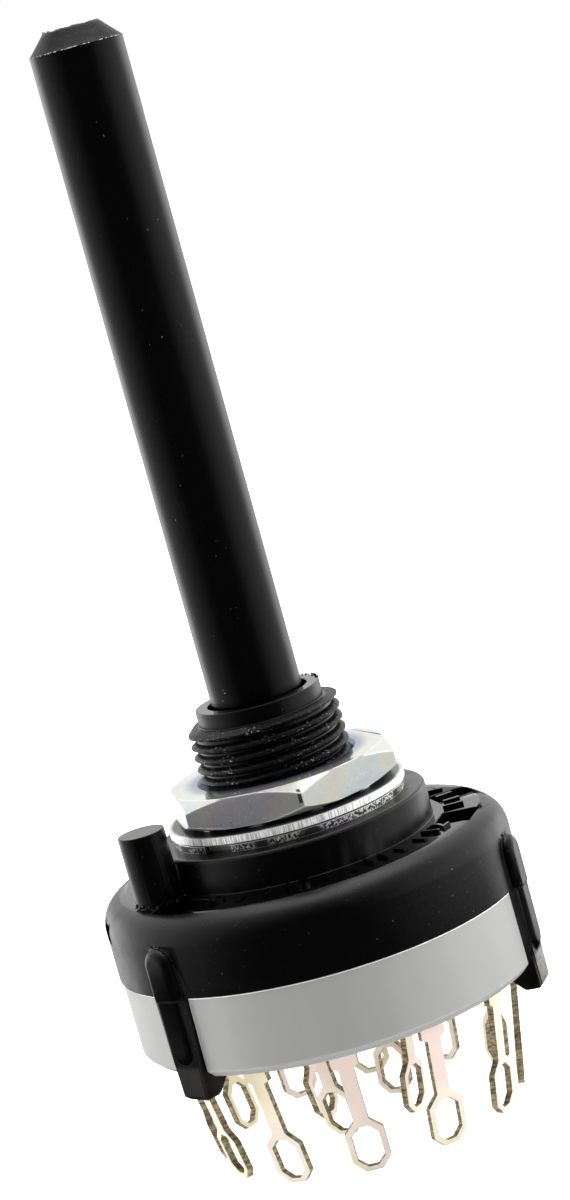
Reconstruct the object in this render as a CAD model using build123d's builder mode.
from build123d import *
import os
from math import asin, atan2, cos, degrees, radians, sin, tan

# Panel-mounted rotary switch, four poles and three positions, with a long plastic shaft.
# Millimetres. The axis is Z, pointing up the shaft, and z = 0 is the mounting face on top of the collar.
# Azimuths are in degrees, anticlockwise from +X seen from the shaft end.

# Indexing
step_angle = 30.0
switch_positions = 3
stop_margin = 1.5

# Shaft and spindle
shaft_diameter = 6.0
shaft_top = 52.0
tip_chamfer_width = 1.33
tip_chamfer_height = 1.4
bore_clearance = 0.03
journal_relief = 0.04
neck_relief = 0.2
thrust_boss_width = 1.2
hub_rim = 0.3
hub_web = 0.5
hub_deck_clearance = 0.15
end_play = 0.05
drive_key_width = 4.4
drive_key_fit = 0.02
pilot_diameter = 2.8

# Threaded bush, moulded on the housing
thread_diameter = 10.0
thread_depth = 0.46
thread_start_chamfer = 0.35
free_thread = 3.65
lip_height = 1.07
lip_step = 0.88
mouth_gap = 0.3
mouth_depth = 0.9

# Collar and cap of the housing
collar_height = 2.3
collar_edge_chamfer = 0.15
collar_roof = 1.3
collar_wall = 0.75
cap_edge_radius = 1.8
cap_wall = 1.3
cap_seam_depth = 7.43
deck_thickness = 1.4

# Detent ring that hangs from the deck, and its balls and spring
hub_crest_clearance = 0.4
notch_depth = 0.6
notch_angle = 120.0
detent_ring_wall = 1.1
ring_rotor_clearance = 0.25
ball_diameter = 2.5
ball_bore_clearance = 0.05
ball_crest_clearance = 0.1
ball_back_travel = 0.05
spring_clearance = 0.2
spring_wire = 0.35
spring_coils = 5
spring_end_gap = 0.05

# Locating peg and the openings in the deck
peg_diameter = 3.04
peg_top = 2.46
peg_collar_gap = 0.06
peg_azimuth = -148.6
window_set_off = 0.1
window_rim = 1.5
window_width = 3.0
pocket_azimuth = 18.0
pocket_set_off = 0.65
pocket_length = 2.8
pocket_width = 2.9
pocket_depth = 0.9
pocket_bar_width = 0.35
pocket_bar_height = 0.5

# Snap clips, moulded on the cap
clip_count = 3
clip_azimuth = -15.0
clip_rib_width = 2.3
clip_rib_projection = 0.62
clip_rib_round = 0.6
clip_rib_drop = 1.75
clip_rib_lift = 0.97
tongue_thickness = 1.15
tongue_top_width = 2.5
tongue_bottom_width = 2.2
tongue_corner = 0.35
tongue_side_clearance = 0.12
tongue_back_clearance = 0.05
tongue_set_out = 0.25
tongue_root = 0.1
barb_reach = 0.9
barb_lip = 0.35
barb_height = 1.35
barb_toe = 0.3
barb_clearance = 0.04

# Base
base_set_back = 0.15
base_wall = 2.15
base_floor = 1.87
base_edge_chamfer = 0.5
base_ring_clearance = 1.8
spigot_height = 1.0
spigot_clearance = 0.05
bearing_boss_wall = 0.95
bearing_clearance = 0.05
bearing_floor = 0.77

# Contact rotor and its wipers
rotor_rim_clearance = 0.3
rotor_thickness = 2.2
rotor_floor_gap = 1.35
wiper_pocket_depth = 0.8
wiper_side_clearance = 0.1
wiper_width = 1.8
wiper_thickness = 0.25
wiper_foot = 0.5
wiper_toe = 0.35
wiper_bend = 0.35
wiper_flat = 2.0
contact_gap = 0.02
stake_width = 0.9
stake_length = 0.5
stake_clearance = 0.03

# Terminals: a row of outer solder lugs and one inner common lug for each pole
pole_count = 4
pole_azimuth = -30.0
strip_thickness = 0.45
strip_bend = 0.6
shoulder_width = 1.75
shoulder_length = 1.05
shoulder_taper = 0.2
shank_width = 1.0
eye_width = 2.5
eye_length = 3.6
eye_corner = 0.75
eye_end_width = 1.1
eye_side_wall = 0.38
eye_root_wall = 0.47
eye_end_wall = 0.33
eye_hole_corner = 0.55
outer_lug_set_out = 0.2
outer_lug_length = 8.55
outer_lug_lean = 10.0
outer_pad_length = 2.6
outer_track_set_in = 1.1
common_lug_boss_gap = 2.1
common_lug_length = 8.1
common_lug_lean = 8.0
common_track_set_out = 1.0
common_pad_margin = 0.9
common_pad_half_angle = 40.0

# Stop washer, lock washer and nut
washer_clearance = 0.05
stop_washer_rim = 0.6
stop_washer_thickness = 0.5
stop_tab_azimuth = -126.0
stop_tab_width = 2.2
stop_tab_set_off = 1.6
stop_tab_hub_gap = 0.95
stop_slot_clearance = 0.15
stop_lug_half_angle = 6.0
stop_lug_overlap_inside = 0.6
stop_lug_overlap_outside = 0.5
stop_lug_wall_gap = 0.6
stop_lug_roof_gap = 0.75
stop_rib_hub_gap = 0.45
lock_washer_margin = 0.83
lock_washer_rim = 1.6
lock_washer_lift = 0.1
lock_washer_space = 0.85
tooth_count = 10
tooth_width = 1.3
tooth_overlap = 0.25
tooth_seat_clearance = 0.01
nut_wall = 2.0
nut_thickness = 2.05
nut_azimuth = -77.9
nut_chamfer_angle = 30.0
nut_face_margin = 0.05
nut_bore_chamfer = 0.5

# Radii, from the shaft outwards: bush, stops, hub, detent ring, base and cap
shaft_radius = shaft_diameter / 2
bore_radius = shaft_radius + bore_clearance
mouth_radius = shaft_radius + mouth_gap
thread_radius = thread_diameter / 2
engaged_radius = thread_radius - thread_depth / 2
lip_radius = thread_radius - lip_step
washer_bore_radius = thread_radius + washer_clearance
stop_tab_inner_radius = thread_radius + stop_tab_set_off
stop_tab_outer_radius = stop_tab_inner_radius + stop_washer_thickness
stop_washer_radius = stop_tab_outer_radius + stop_washer_rim
stop_lug_inner_radius = stop_tab_inner_radius - stop_lug_overlap_inside
stop_lug_outer_radius = stop_tab_outer_radius + stop_lug_overlap_outside
collar_cavity_radius = stop_lug_outer_radius + stop_lug_wall_gap
collar_radius = collar_cavity_radius + collar_wall
hub_radius = stop_lug_outer_radius + hub_rim
crest_radius = hub_radius + hub_crest_clearance
notch_half_width = notch_depth * tan(radians(notch_angle / 2))
detent_ring_radius = crest_radius + detent_ring_wall
base_cavity_radius = detent_ring_radius + base_ring_clearance
base_radius = base_cavity_radius + base_wall
cap_radius = base_radius + base_set_back
cap_inner_radius = cap_radius - cap_wall
window_inner_radius = detent_ring_radius + window_set_off
window_outer_radius = cap_radius - window_rim
pocket_inner_radius = collar_radius + pocket_set_off
peg_orbit = collar_radius + peg_diameter / 2 + peg_collar_gap
tongue_outer_face = cap_radius + tongue_set_out
tongue_inner_face = tongue_outer_face - tongue_thickness
rotor_radius = base_cavity_radius - rotor_rim_clearance
pilot_radius = pilot_diameter / 2
bearing_radius = pilot_radius + bearing_clearance
bearing_boss_radius = bearing_radius + bearing_boss_wall
outer_lug_orbit = base_cavity_radius + outer_lug_set_out
outer_pad_inner_radius = outer_lug_orbit - outer_pad_length
outer_track_radius = outer_pad_inner_radius + outer_track_set_in
common_lug_orbit = bearing_boss_radius + common_lug_boss_gap
inner_track_radius = common_lug_orbit + common_track_set_out
common_pad_outer_radius = inner_track_radius + common_pad_margin
nut_width = thread_diameter + 2 * nut_wall
lock_washer_radius = nut_width / 2 + lock_washer_margin

# Detent balls: at the crests in the rest pose, so that they clear the ring at every angle
ball_radius = ball_diameter / 2
ball_bore_radius = ball_radius + ball_bore_clearance
ball_orbit = crest_radius - ball_crest_clearance - ball_radius
spring_half_length = ball_orbit - ball_radius - ball_back_travel - spring_end_gap

# Levels, from the mounting face up to the bush's mouth and down to the base
nut_bottom = stop_washer_thickness + lock_washer_space
nut_top = nut_bottom + nut_thickness
thread_top = nut_top + free_thread
bush_height = thread_top + lip_height
deck_level = -collar_height
deck_underside = deck_level - deck_thickness
seam_level = -cap_seam_depth
thrust_level = -collar_roof - end_play
hub_top = deck_underside - hub_deck_clearance
hub_bottom = hub_top - 2 * (ball_bore_radius + hub_web)
ball_level = (hub_top + hub_bottom) / 2
detent_ring_bottom = hub_bottom + ring_rotor_clearance
stop_tab_bottom = hub_top + stop_tab_hub_gap
stop_rib_bottom = hub_top + stop_rib_hub_gap
stop_lug_top = -collar_roof - stop_lug_roof_gap
rotor_bottom = hub_bottom - rotor_thickness
wiper_seat = rotor_bottom + wiper_pocket_depth
floor_top = rotor_bottom - rotor_floor_gap
base_bottom = floor_top - base_floor
bearing_bottom = base_bottom + bearing_floor

# Angular stops: the lug on the hub turns between the washer's tab and a rib in the collar
travel_angle = step_angle * (switch_positions - 1)
stop_tab_half_angle = degrees(asin(stop_tab_width / 2 / stop_tab_inner_radius))
stop_lug_azimuth = (stop_tab_azimuth + stop_tab_half_angle + stop_lug_half_angle
                    + travel_angle / 2 + stop_margin)
stop_rib_azimuth = stop_tab_azimuth + step_angle * switch_positions
stop_rib_half_angle = (stop_rib_azimuth - stop_lug_azimuth - stop_lug_half_angle
                       - travel_angle / 2 - stop_margin)
slot_count = round(360 / step_angle) - 1

terminal_azimuths = [i * step_angle for i in range(round(360 / step_angle))]
clip_azimuths = [clip_azimuth + i * 360 / clip_count for i in range(clip_count)]
pole_azimuths = [pole_azimuth + i * 360 / pole_count for i in range(pole_count)]
pole_letters = "abcd"


def radial_plane(azimuth):
    """An upright plane through the axis: local x runs outwards and local y runs up."""
    a = radians(azimuth)
    return Plane(origin=(0, 0, 0), x_dir=(cos(a), sin(a), 0), z_dir=(sin(a), -cos(a), 0))


def facing_plane(azimuth):
    """An upright plane seen from outside: local x runs round the switch and local y runs up."""
    a = radians(azimuth)
    return Plane(origin=(0, 0, 0), x_dir=(-sin(a), cos(a), 0), z_dir=(cos(a), sin(a), 0))


def ring_sector(inner, outer, azimuth, half_angle):
    """The edges between two radii, half_angle to each side of an azimuth."""
    start = azimuth - half_angle
    with BuildLine() as outline:
        rim = CenterArc((0, 0), outer, start, 2 * half_angle)
        hollow = CenterArc((0, 0), inner, start, 2 * half_angle)
        Line(rim @ 0, hollow @ 0)
        Line(rim @ 1, hollow @ 1)
    return outline.edges()


def mirrored(half):
    """A symmetric outline from the points of its right half, listed from the top down."""
    return half + [(-x, y) for x, y in reversed(half)]


def write(part, label):
    part.label = label
    export_step(part, f"parts/{label}.step")


os.makedirs("parts", exist_ok=True)


# Snap clip: a rounded rib outside the wall, carried on down as a flat tongue with a barb
rib_bottom = base_bottom + clip_rib_lift
rib_height = deck_level - clip_rib_drop - rib_bottom
with BuildPart() as clip_rib:
    with BuildSketch(Plane.YZ.offset(cap_radius - tongue_root)):
        with Locations((0, rib_bottom + rib_height / 2)):
            SlotOverall(rib_height, clip_rib_width, rotation=90)
    extrude(amount=tongue_root + clip_rib_projection)
    fillet(clip_rib.faces().sort_by(Axis.X)[-1].edges(), clip_rib_round)

barb_top = base_bottom - barb_clearance
barb_bottom = barb_top - barb_height
with BuildPart() as clip:
    with BuildSketch(Plane.XZ) as clip_side:
        with BuildLine():
            Polyline(
                (tongue_inner_face, seam_level + cap_wall),
                (tongue_inner_face, barb_top),
                (tongue_inner_face - barb_reach, barb_top),
                (tongue_inner_face - barb_reach, barb_top - barb_lip),
                (tongue_inner_face, barb_bottom),
                (tongue_outer_face, barb_bottom),
                (tongue_outer_face, seam_level),
                (cap_radius - tongue_root, seam_level),
                (cap_radius - tongue_root, seam_level + cap_wall),
                close=True,
            )
        make_face()
        chamfer(clip_side.vertices().group_by(Axis.Y)[0].sort_by(Axis.X)[-1], barb_toe)
    extrude(amount=tongue_top_width, both=True)
    taper_per_mm = (tongue_top_width - tongue_bottom_width) / 2 / (seam_level - base_bottom)
    with BuildSketch(Plane.YZ) as clip_face:
        with BuildLine():
            Polyline(
                *mirrored([
                    (tongue_top_width / 2, seam_level + cap_wall),
                    (tongue_top_width / 2, seam_level),
                    (tongue_top_width / 2 - taper_per_mm * (seam_level - barb_bottom), barb_bottom),
                ]),
                close=True,
            )
        make_face()
        fillet(clip_face.vertices().group_by(Axis.Y)[0], tongue_corner)
    extrude(amount=2 * cap_radius, mode=Mode.INTERSECT)
    add(clip_rib.part)


# Housing: bush, collar, cap, detent ring, peg and clips in one moulding
with BuildPart() as housing:
    with BuildSketch(Plane.XZ) as housing_section:
        with BuildLine():
            Polyline(
                (bore_radius, -collar_roof),
                (bore_radius, bush_height - mouth_depth),
                (mouth_radius, bush_height - mouth_depth),
                (mouth_radius, bush_height),
                (lip_radius, bush_height),
                (lip_radius, thread_top),
                (thread_radius - thread_start_chamfer, thread_top),
                (thread_radius, thread_top - thread_start_chamfer),
                (thread_radius, nut_top),
                (engaged_radius, nut_top),
                (engaged_radius, nut_bottom),
                (thread_radius, nut_bottom),
                (thread_radius, 0),
                (collar_radius - collar_edge_chamfer, 0),
                (collar_radius, -collar_edge_chamfer),
                (collar_radius, deck_level),
                (cap_radius, deck_level),
                (cap_radius, seam_level),
                (cap_inner_radius, seam_level),
                (cap_inner_radius, deck_underside),
                (detent_ring_radius, deck_underside),
                (detent_ring_radius, detent_ring_bottom),
                (crest_radius, detent_ring_bottom),
                (crest_radius, deck_underside),
                (collar_cavity_radius, deck_underside),
                (collar_cavity_radius, -collar_roof),
                close=True,
            )
        make_face()
        fillet(housing_section.vertices().group_by(Axis.X)[-1].sort_by(Axis.Y)[-1], cap_edge_radius)
    revolve(axis=Axis.Z)

    with BuildSketch(Plane.XY.offset(deck_underside)):
        with PolarLocations(crest_radius, round(360 / step_angle)):
            Polygon((notch_depth, 0), (0, notch_half_width), (-notch_depth, 0), (0, -notch_half_width))
    extrude(amount=detent_ring_bottom - deck_underside, mode=Mode.SUBTRACT)

    with BuildSketch(Plane.XY.offset(-collar_roof)):
        slot_radius = (stop_tab_inner_radius + stop_tab_outer_radius) / 2
        with PolarLocations(slot_radius, slot_count, start_angle=stop_rib_azimuth + step_angle,
                            angular_range=step_angle * slot_count, endpoint=False):
            Rectangle(stop_washer_thickness + 2 * stop_slot_clearance,
                      stop_tab_width + 2 * stop_slot_clearance)
    extrude(amount=collar_roof, mode=Mode.SUBTRACT)
    with BuildSketch(Plane.XY.offset(-collar_roof)):
        make_face(ring_sector(stop_lug_inner_radius, collar_cavity_radius,
                              stop_rib_azimuth, stop_rib_half_angle))
    extrude(amount=stop_rib_bottom + collar_roof)

    with BuildSketch(Plane.XY.offset(seam_level)):
        with PolarLocations((window_inner_radius + window_outer_radius) / 2, clip_count,
                            start_angle=clip_azimuth):
            Rectangle(window_outer_radius - window_inner_radius, window_width)
    extrude(amount=cap_seam_depth, mode=Mode.SUBTRACT)

    with BuildSketch(Plane.XY.offset(deck_level)):
        with PolarLocations(pocket_inner_radius + pocket_length / 2, 1, start_angle=pocket_azimuth):
            Rectangle(pocket_length, pocket_width)
    extrude(amount=-pocket_depth, mode=Mode.SUBTRACT)
    with BuildSketch(Plane.XY.offset(deck_level - pocket_depth)):
        with PolarLocations(pocket_inner_radius + pocket_length / 2, 1, start_angle=pocket_azimuth):
            with GridLocations(pocket_length, pocket_width / 3, 1, 2):
                Rectangle(pocket_length, pocket_bar_width)
    extrude(amount=pocket_bar_height)

    with BuildSketch(Plane.XY.offset(deck_level)):
        with PolarLocations(peg_orbit, 1, start_angle=peg_azimuth):
            Circle(peg_diameter / 2)
    extrude(amount=peg_top - deck_level)

    with PolarLocations(0, clip_count, start_angle=clip_azimuth):
        add(clip.part)
write(housing.part, "housing")


def lug_face(azimuth, length, lean):
    """A lug seen square on, from the floor down to its tip, with its long eight-sided eye."""
    squeeze = cos(radians(lean))
    tip = base_bottom - length * squeeze
    eye_top = tip + eye_length * squeeze
    hole_bottom = tip + eye_end_wall * squeeze
    hole_top = eye_top - eye_root_wall * squeeze
    hole_corner = eye_hole_corner * squeeze
    hole_half_width = eye_width / 2 - eye_side_wall
    with BuildSketch(facing_plane(azimuth)) as face:
        with BuildLine():
            Polyline(
                *mirrored([
                    (shoulder_width / 2, floor_top),
                    (shoulder_width / 2, base_bottom - shoulder_length * squeeze),
                    (shank_width / 2, base_bottom - (shoulder_length + shoulder_taper) * squeeze),
                    (shank_width / 2, eye_top),
                    (eye_width / 2, eye_top - eye_corner * squeeze),
                    (eye_width / 2, tip + eye_corner * squeeze),
                    (eye_end_width / 2, tip),
                ]),
                close=True,
            )
        make_face()
        with BuildLine():
            Polyline(
                *mirrored([
                    (hole_half_width - eye_hole_corner, hole_top),
                    (hole_half_width, hole_top - hole_corner),
                    (hole_half_width, hole_bottom + hole_corner),
                    (hole_half_width - eye_hole_corner, hole_bottom),
                ]),
                close=True,
            )
        make_face(mode=Mode.SUBTRACT)
    return face.sketch


def strip_path(pad_end, orbit, outside, length, lean):
    """One face of a strip: along the pad, down through the floor, then leaning inwards below it."""
    face = orbit + outside * strip_thickness / 2
    drop = length * cos(radians(lean))
    return [
        (pad_end, floor_top),
        (face, floor_top),
        (face, base_bottom - strip_bend * tan(radians(lean / 2))),
        (face - drop * tan(radians(lean)), base_bottom - drop),
    ]


def strip_slot(pad_end, orbit, outside):
    """The slot a strip is pressed into, bevelled where it clears the inside of the bend."""
    face = orbit + outside * strip_thickness / 2
    back = orbit - outside * strip_thickness / 2
    bevel = strip_bend - strip_thickness
    with BuildLine() as outline:
        Polyline(
            (pad_end, floor_top),
            (face, floor_top),
            (face, base_bottom),
            (back, base_bottom),
            (back, floor_top - strip_thickness - bevel),
            (back - outside * bevel, floor_top - strip_thickness),
            (pad_end, floor_top - strip_thickness),
            close=True,
        )
    return outline.edges()


def common_track(azimuth):
    """The arc-shaped pad that a pole's wiper stays on at every position."""
    return ring_sector(common_lug_orbit + strip_thickness / 2, common_pad_outer_radius,
                       azimuth, common_pad_half_angle)


# Outer terminals: pad flush with the floor, shank through it, and a lug leaning inwards
for number, azimuth in enumerate(terminal_azimuths, start=1):
    with BuildPart() as terminal:
        with BuildSketch(radial_plane(azimuth)):
            with BuildLine():
                face = FilletPolyline(
                    *strip_path(outer_pad_inner_radius, outer_lug_orbit, 1,
                                outer_lug_length, outer_lug_lean),
                    radius=strip_bend,
                )
                offset(face, amount=strip_thickness, side=Side.RIGHT)
            make_face()
        extrude(amount=eye_width, both=True)
        extrude(lug_face(azimuth, outer_lug_length, outer_lug_lean), amount=cap_radius,
                mode=Mode.INTERSECT)
    write(terminal.part, f"terminal_{number:02d}")


# Common terminals: the same lug under an arc-shaped track
for letter, azimuth in zip(pole_letters, pole_azimuths):
    with BuildPart() as common:
        with BuildSketch(radial_plane(azimuth)):
            with BuildLine():
                face = FilletPolyline(
                    *strip_path(inner_track_radius, common_lug_orbit, -1,
                                common_lug_length, common_lug_lean),
                    radius=strip_bend,
                )
                offset(face, amount=strip_thickness, side=Side.LEFT)
            make_face()
        extrude(amount=eye_width, both=True)
        extrude(lug_face(azimuth, common_lug_length, common_lug_lean), amount=cap_radius,
                mode=Mode.INTERSECT)
        with BuildSketch(Plane.XY.offset(floor_top)):
            make_face(common_track(azimuth))
        extrude(amount=-strip_thickness)
    write(common.part, f"common_{letter}")


# Base: a shallow cup moulded round the terminals, with a spigot that centres it in the cap
slot_taper = [
    (tongue_top_width / 2 + tongue_side_clearance, seam_level),
    (tongue_bottom_width / 2 + tongue_side_clearance, base_bottom),
]
with BuildPart() as base:
    with BuildSketch(Plane.XZ) as base_section:
        with BuildLine():
            Polyline(
                (0, base_bottom),
                (base_radius, base_bottom),
                (base_radius, seam_level),
                (cap_inner_radius - spigot_clearance, seam_level),
                (cap_inner_radius - spigot_clearance, seam_level + spigot_height),
                (base_cavity_radius, seam_level + spigot_height),
                (base_cavity_radius, floor_top),
                (bearing_boss_radius, floor_top),
                (bearing_boss_radius, rotor_bottom - end_play),
                (bearing_radius, rotor_bottom - end_play),
                (bearing_radius, bearing_bottom),
                (0, bearing_bottom),
                close=True,
            )
        make_face()
        chamfer(base_section.vertices().group_by(Axis.X)[-1].sort_by(Axis.Y)[0], base_edge_chamfer)
    revolve(axis=Axis.Z)

    for azimuth in clip_azimuths:
        with BuildSketch(facing_plane(azimuth).offset(tongue_inner_face - tongue_back_clearance)):
            with BuildLine():
                Polyline(*mirrored(slot_taper), close=True)
            make_face()
        extrude(amount=base_radius, mode=Mode.SUBTRACT)

    for azimuth in terminal_azimuths:
        with BuildSketch(radial_plane(azimuth)):
            make_face(strip_slot(outer_pad_inner_radius, outer_lug_orbit, 1))
        extrude(amount=shoulder_width / 2, both=True, mode=Mode.SUBTRACT)
    for azimuth in pole_azimuths:
        with BuildSketch(radial_plane(azimuth)):
            make_face(strip_slot(inner_track_radius, common_lug_orbit, -1))
        extrude(amount=shoulder_width / 2, both=True, mode=Mode.SUBTRACT)
        with BuildSketch(Plane.XY.offset(floor_top)):
            make_face(common_track(azimuth))
        extrude(amount=-strip_thickness, mode=Mode.SUBTRACT)
write(base.part, "base")


# Spindle: shaft, journal, index hub with its cross hole, stop lug, drive key and pilot
with BuildPart() as spindle:
    with BuildSketch(Plane.XZ):
        with BuildLine():
            Polyline(
                (0, shaft_top),
                (shaft_radius - tip_chamfer_width, shaft_top),
                (shaft_radius, shaft_top - tip_chamfer_height),
                (shaft_radius, bush_height),
                (shaft_radius - neck_relief, bush_height),
                (shaft_radius - neck_relief, bush_height - mouth_depth),
                (shaft_radius - journal_relief, bush_height - mouth_depth),
                (shaft_radius - journal_relief, thrust_level),
                (shaft_radius + thrust_boss_width, thrust_level),
                (shaft_radius + thrust_boss_width, hub_top),
                (hub_radius, hub_top),
                (hub_radius, hub_bottom),
                (pilot_radius, hub_bottom),
                (pilot_radius, bearing_bottom + end_play),
                (0, bearing_bottom + end_play),
                close=True,
            )
        make_face()
    revolve(axis=Axis.Z)
    with BuildSketch(Plane.XY.offset(hub_bottom)):
        Rectangle(drive_key_width, drive_key_width)
    extrude(amount=-rotor_thickness)
    with BuildSketch(Plane.XY.offset(hub_top)):
        make_face(ring_sector(stop_lug_inner_radius, stop_lug_outer_radius,
                              stop_lug_azimuth, stop_lug_half_angle))
    extrude(amount=stop_lug_top - hub_top)
    with BuildSketch(Plane.YZ):
        with Locations((0, ball_level)):
            Circle(ball_bore_radius)
    extrude(amount=2 * hub_radius, both=True, mode=Mode.SUBTRACT)
write(spindle.part, "spindle")


# Contact rotor: a disc on the drive key, with a pocket and a stake for each wiper
pocket_inner = inner_track_radius - wiper_foot - wiper_toe
pocket_outer = outer_track_radius + wiper_foot + wiper_toe
stake_radius = (inner_track_radius + outer_track_radius) / 2
with BuildPart() as rotor:
    with BuildSketch(Plane.XY.offset(hub_bottom)):
        Circle(rotor_radius)
        Rectangle(drive_key_width + 2 * drive_key_fit, drive_key_width + 2 * drive_key_fit,
                  mode=Mode.SUBTRACT)
    extrude(amount=-rotor_thickness)
    with BuildSketch(Plane.XY.offset(rotor_bottom)):
        with PolarLocations((pocket_inner + pocket_outer) / 2, pole_count, start_angle=pole_azimuth):
            Rectangle(pocket_outer - pocket_inner, wiper_width + 2 * wiper_side_clearance)
    extrude(amount=wiper_pocket_depth, mode=Mode.SUBTRACT)
    with BuildSketch(Plane.XY.offset(wiper_seat)):
        with PolarLocations(stake_radius, pole_count, start_angle=pole_azimuth):
            Rectangle(stake_width, stake_width)
    extrude(amount=-stake_length)
write(rotor.part, "rotor")


# Wipers: one sprung bridge a pole, staked in its pocket, with a foot on each track
foot_level = floor_top + contact_gap
flat_level = wiper_seat - wiper_thickness
for letter, azimuth in zip(pole_letters, pole_azimuths):
    with BuildPart() as wiper:
        with BuildSketch(radial_plane(azimuth)):
            with BuildLine():
                lower_face = FilletPolyline(
                    (inner_track_radius - wiper_foot / 2 - wiper_toe, foot_level + wiper_toe),
                    (inner_track_radius - wiper_foot / 2, foot_level),
                    (inner_track_radius + wiper_foot / 2, foot_level),
                    (stake_radius - wiper_flat / 2, flat_level),
                    (stake_radius + wiper_flat / 2, flat_level),
                    (outer_track_radius - wiper_foot / 2, foot_level),
                    (outer_track_radius + wiper_foot / 2, foot_level),
                    (outer_track_radius + wiper_foot / 2 + wiper_toe, foot_level + wiper_toe),
                    radius=wiper_bend,
                )
                offset(lower_face, amount=wiper_thickness, side=Side.LEFT)
            make_face()
        extrude(amount=wiper_width / 2, both=True)
        with BuildSketch(Plane.XY.offset(wiper_seat)):
            with PolarLocations(stake_radius, 1, start_angle=azimuth):
                Rectangle(stake_width + 2 * stake_clearance, stake_width + 2 * stake_clearance)
        extrude(amount=-wiper_thickness, mode=Mode.SUBTRACT)
    write(wiper.part, f"wiper_{letter}")


# Detent balls at the ends of the hub's cross hole, and the spring that drives them apart
for number, side in enumerate((1, -1), start=1):
    with BuildPart() as detent_ball:
        with Locations((side * ball_orbit, 0, ball_level)):
            Sphere(ball_radius)
    write(detent_ball.part, f"detent_ball_{number}")

coil_radius = ball_bore_radius - spring_clearance - spring_wire / 2
coil_height = 2 * spring_half_length - spring_wire
with BuildPart() as detent_spring:
    with BuildLine():
        coil = Helix(
            pitch=coil_height / spring_coils,
            height=coil_height,
            radius=coil_radius,
            center=(-coil_height / 2, 0, ball_level),
            direction=(1, 0, 0),
        )
    with BuildSketch(Plane(origin=coil @ 0, z_dir=coil % 0)):
        Rectangle(spring_wire, spring_wire)
    sweep(path=coil, is_frenet=True)
write(detent_spring.part, "detent_spring")


# Stop washer: a flat ring with a notch, whose tab is bent down through a slot in the collar
with BuildPart() as stop_washer:
    with BuildSketch(Plane.XY):
        Circle(stop_washer_radius)
        Circle(washer_bore_radius, mode=Mode.SUBTRACT)
        with PolarLocations(stop_tab_outer_radius, 1, start_angle=stop_tab_azimuth):
            Rectangle(stop_washer_radius, stop_tab_width, align=(Align.MIN, Align.CENTER),
                      mode=Mode.SUBTRACT)
    extrude(amount=stop_washer_thickness)
    with BuildSketch(Plane.XY):
        with PolarLocations(stop_tab_inner_radius, 1, start_angle=stop_tab_azimuth):
            Rectangle(stop_washer_thickness, stop_tab_width, align=(Align.MIN, Align.CENTER))
    extrude(amount=stop_tab_bottom)
write(stop_washer.part, "stop_washer")


# Lock washer: a rim with twisted inner teeth that bite the stop washer and the nut
rim_inner_radius = lock_washer_radius - lock_washer_rim
tooth_length = rim_inner_radius + tooth_overlap - washer_bore_radius
tooth_height = lock_washer_space - 2 * tooth_seat_clearance
tooth_diagonal = (tooth_width ** 2 + stop_washer_thickness ** 2) ** 0.5
tooth_twist = degrees(asin(tooth_height / tooth_diagonal) - atan2(stop_washer_thickness, tooth_width))
with BuildPart() as lock_washer:
    with BuildSketch(Plane.XY.offset(stop_washer_thickness + lock_washer_lift)):
        Circle(lock_washer_radius)
        Circle(rim_inner_radius, mode=Mode.SUBTRACT)
    extrude(amount=stop_washer_thickness)
    with Locations((0, 0, stop_washer_thickness + lock_washer_space / 2)):
        with PolarLocations(washer_bore_radius + tooth_length / 2, tooth_count):
            with Locations(Location((0, 0, 0), (tooth_twist, 0, 0))):
                Box(tooth_length, tooth_width, stop_washer_thickness)
write(lock_washer.part, "lock_washer")


# Nut: thin hexagon, chamfered on both faces
corner_radius = nut_width / 2 / cos(radians(30))
face_radius = nut_width / 2 + nut_face_margin
corner_drop = (corner_radius - face_radius) * tan(radians(nut_chamfer_angle))
with BuildPart() as panel_nut:
    with BuildSketch(Plane.XY.offset(nut_bottom)):
        RegularPolygon(radius=nut_width / 2, side_count=6, major_radius=False, rotation=nut_azimuth)
    extrude(amount=nut_thickness)
    with BuildSketch(Plane.XZ):
        with BuildLine():
            Polyline(
                (engaged_radius, nut_bottom + nut_bore_chamfer),
                (engaged_radius + nut_bore_chamfer, nut_bottom),
                (face_radius, nut_bottom),
                (corner_radius, nut_bottom + corner_drop),
                (corner_radius, nut_top - corner_drop),
                (face_radius, nut_top),
                (engaged_radius + nut_bore_chamfer, nut_top),
                (engaged_radius, nut_top - nut_bore_chamfer),
                close=True,
            )
        make_face()
    revolve(axis=Axis.Z, mode=Mode.INTERSECT)
write(panel_nut.part, "panel_nut")
